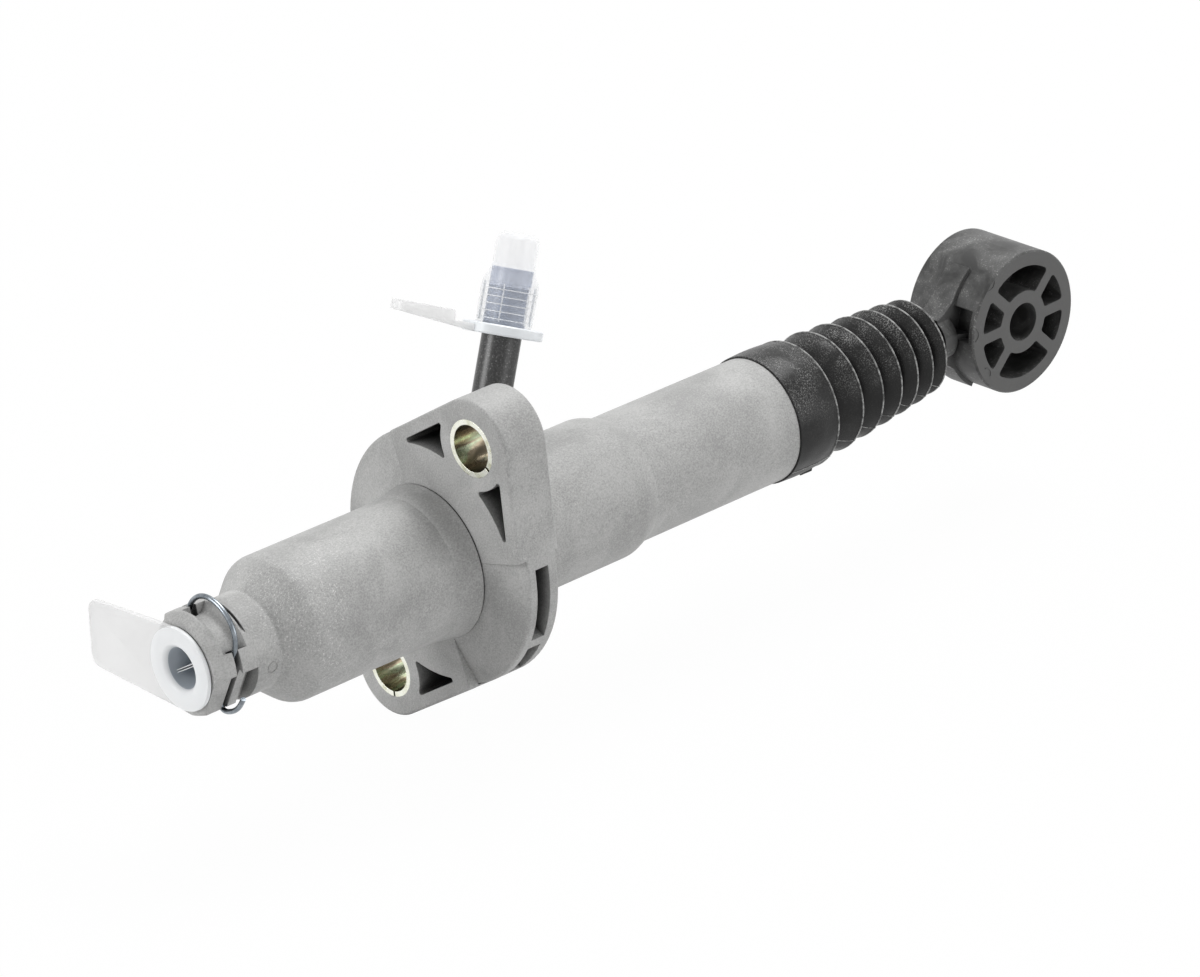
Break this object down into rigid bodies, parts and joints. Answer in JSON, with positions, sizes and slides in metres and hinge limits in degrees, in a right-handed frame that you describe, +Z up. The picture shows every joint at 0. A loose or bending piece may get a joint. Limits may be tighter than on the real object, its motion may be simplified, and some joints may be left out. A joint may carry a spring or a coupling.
{
  "type": "clutch master cylinder",
  "caption": "Pedal-operated hydraulic cylinder with a moulded body, two-lobe flange, leaning inlet pipe, quick-connect outlet, rubber bellows and a pushrod with a round eye.",
  "frame": {"origin": "centre of the two-bolt flange pattern, on the front face of the flange lobes and on the bore axis", "axes": "+X along the bore from the outlet to the pushrod eye, +Y across it, close to the eye's pin and away from its near face, +Z up, with the inlet pipe on the upper side"},
  "size_m": [0.23, 0.0506, 0.0911],
  "materials": {
    "grey_nylon": "glass-filled nylon, light grey, fine mottled fibre pattern",
    "yellow_zinc_steel": "yellow passivated zinc plating",
    "zinc_spring_wire": "bright zinc-plated spring wire",
    "milky_cap_plastic": "milky translucent polythene",
    "seal_rubber": "smooth black rubber",
    "white_acetal": "natural acetal",
    "black_pipe_plastic": "speckled black glass-filled plastic",
    "bellows_rubber": "dusty black rubber with a soft sheen",
    "black_nylon": "glass-filled black nylon, faces dark grey, sides mottled",
    "anodised_aluminium": "hard anodised"
  },
  "bodies": {
    "cylinder": {"cylinder_body": "grey_nylon", "flange_sleeve_upper": "yellow_zinc_steel", "flange_sleeve_lower": "yellow_zinc_steel", "primary_seal": "seal_rubber", "feed_ring": "white_acetal", "secondary_seal": "seal_rubber", "bearing_bush": "white_acetal", "spring_seat": "white_acetal", "return_spring": "zinc_spring_wire", "boot": "bellows_rubber", "stop_ring": "white_acetal", "outlet_seal": "seal_rubber", "outlet_seal_bush": "white_acetal", "inlet_grommet": "seal_rubber", "inlet_pipe": "black_pipe_plastic"},
    "plunger": {"piston": "anodised_aluminium", "piston_guide_ring": "white_acetal"},
    "ball_socket": {"ball_retainer": "white_acetal"},
    "rod": {"pushrod_eye": "black_nylon"},
    "clip": {"wire_clip": "zinc_spring_wire"},
    "plug": {"outlet_plug": "milky_cap_plastic"},
    "cap": {"inlet_cap": "milky_cap_plastic"}
  },
  "joints": [
    {"name": "plunger_slide", "type": "slide", "parent": "cylinder", "child": "plunger", "axis": [1, 0, 0], "range_m": [-0.022, 0], "stiffness_N_per_m": 900, "springref_m": 0.03, "deforming": ["boot", "return_spring"]},
    {"name": "rod_spin", "type": "hinge", "parent": "plunger", "child": "ball_socket", "pos_m": [0.084, 0, 0], "axis": [1, 0, 0], "range_deg": [-20, 20]},
    {"name": "rod_swing", "type": "hinge", "parent": "ball_socket", "child": "rod", "pos_m": [0.084, 0, 0], "axis": [0, 1, 0], "range_deg": [-3, 3]},
    {"name": "clip_lift", "type": "slide", "parent": "cylinder", "child": "clip", "axis": [0, -0.4368, 0.8996], "range_m": [0, 0.003]},
    {"name": "plug_pull", "type": "slide", "parent": "cylinder", "child": "plug", "axis": [-1, 0, 0], "range_m": [0, 0.014]},
    {"name": "cap_pull", "type": "slide", "parent": "cylinder", "child": "cap", "axis": [0.4106, 0.1409, 0.9009], "range_m": [0, 0.018]}
  ]
}
